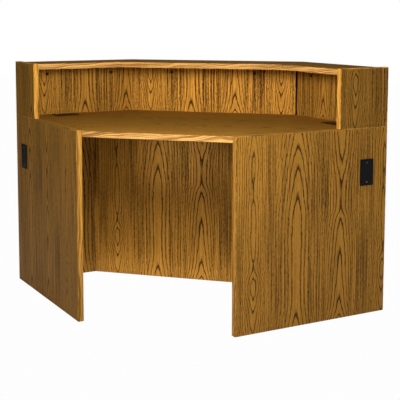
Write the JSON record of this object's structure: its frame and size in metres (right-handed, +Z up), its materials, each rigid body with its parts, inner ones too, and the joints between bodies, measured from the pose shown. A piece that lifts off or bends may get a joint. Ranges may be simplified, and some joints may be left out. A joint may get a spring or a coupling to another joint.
{
  "type": "corner reception desk",
  "caption": "Right-angle corner reception desk with knee space, raised transaction counter, cable plates and levelling glides.",
  "frame": {"origin": "on the floor, under the centre of the bounding box", "axes": "+X along the desk to the user's right, +Y from the user towards the public side, +Z up"},
  "size_m": [1.7556, 0.965, 1.067],
  "materials": {
    "oak_veneer": "golden oak veneer, satin lacquer",
    "oak_top": "golden oak veneer laid along the top, satin lacquer",
    "oak_edge": "solid oak edge band, satin lacquer",
    "softwood": "unfinished softwood",
    "black_plastic": "black, fine satin texture",
    "dark_steel": "dark plated steel",
    "zinc_steel": "bright zinc plate",
    "glide_steel": "bright zinc plate"
  },
  "bodies": {
    "desk": {"left_end_panel": "oak_veneer", "right_end_panel": "oak_veneer", "left_outer_panel": "oak_veneer", "centre_outer_panel": "oak_veneer", "right_outer_panel": "oak_veneer", "knee_panel": "oak_veneer", "left_riser_end": "oak_veneer", "right_riser_end": "oak_veneer", "left_riser_back": "oak_veneer", "centre_riser_back": "oak_veneer", "right_riser_back": "oak_veneer", "worktop": "oak_top", "transaction_top": "oak_top", "left_end_edge_bands": "oak_edge", "right_end_edge_bands": "oak_edge", "worktop_front_band": "oak_edge", "worktop_back_bands": "oak_edge", "left_riser_edge_bands": "oak_edge", "right_riser_edge_bands": "oak_edge", "top_front_bands": "oak_edge", "top_back_bands": "oak_edge", "left_end_cleat": "softwood", "right_end_cleat": "softwood", "left_side_cleat": "softwood", "right_side_cleat": "softwood", "knee_panel_rail": "softwood", "left_knee_cleat": "softwood", "right_knee_cleat": "softwood", "left_corner_block": "softwood", "right_corner_block": "softwood", "panel_dowels": "softwood", "riser_dowels": "softwood", "top_dowels": "softwood", "left_end_cable_plate": "black_plastic", "right_end_cable_plate": "black_plastic", "left_desk_cable_plate": "black_plastic", "right_desk_cable_plate": "black_plastic", "cable_plate_screws": "dark_steel", "panel_cam_locks": "dark_steel", "worktop_cam_locks": "dark_steel", "top_cam_locks": "dark_steel", "panel_cam_bolts": "zinc_steel", "worktop_cam_bolts": "zinc_steel", "top_cam_bolts": "zinc_steel", "cleat_screws": "zinc_steel", "glide_inserts": "zinc_steel"},
    "left_near_glide": {"left_near_glide": "glide_steel"},
    "right_near_glide": {"right_near_glide": "glide_steel"},
    "left_far_glide": {"left_far_glide": "glide_steel"},
    "right_far_glide": {"right_far_glide": "glide_steel"},
    "left_side_glide": {"left_side_glide": "glide_steel"},
    "right_side_glide": {"right_side_glide": "glide_steel"},
    "left_centre_glide": {"left_centre_glide": "glide_steel"},
    "right_centre_glide": {"right_centre_glide": "glide_steel"}
  },
  "joints": [
    {"name": "left_near_glide_screw", "type": "slide", "parent": "desk", "child": "left_near_glide", "axis": [0, 0, -1], "range_m": [0, 0.015]},
    {"name": "right_near_glide_screw", "type": "slide", "parent": "desk", "child": "right_near_glide", "axis": [0, 0, -1], "range_m": [0, 0.015]},
    {"name": "left_far_glide_screw", "type": "slide", "parent": "desk", "child": "left_far_glide", "axis": [0, 0, -1], "range_m": [0, 0.015]},
    {"name": "right_far_glide_screw", "type": "slide", "parent": "desk", "child": "right_far_glide", "axis": [0, 0, -1], "range_m": [0, 0.015]},
    {"name": "left_side_glide_screw", "type": "slide", "parent": "desk", "child": "left_side_glide", "axis": [0, 0, -1], "range_m": [0, 0.015]},
    {"name": "right_side_glide_screw", "type": "slide", "parent": "desk", "child": "right_side_glide", "axis": [0, 0, -1], "range_m": [0, 0.015]},
    {"name": "left_centre_glide_screw", "type": "slide", "parent": "desk", "child": "left_centre_glide", "axis": [0, 0, -1], "range_m": [0, 0.015]},
    {"name": "right_centre_glide_screw", "type": "slide", "parent": "desk", "child": "right_centre_glide", "axis": [0, 0, -1], "range_m": [0, 0.015]}
  ]
}
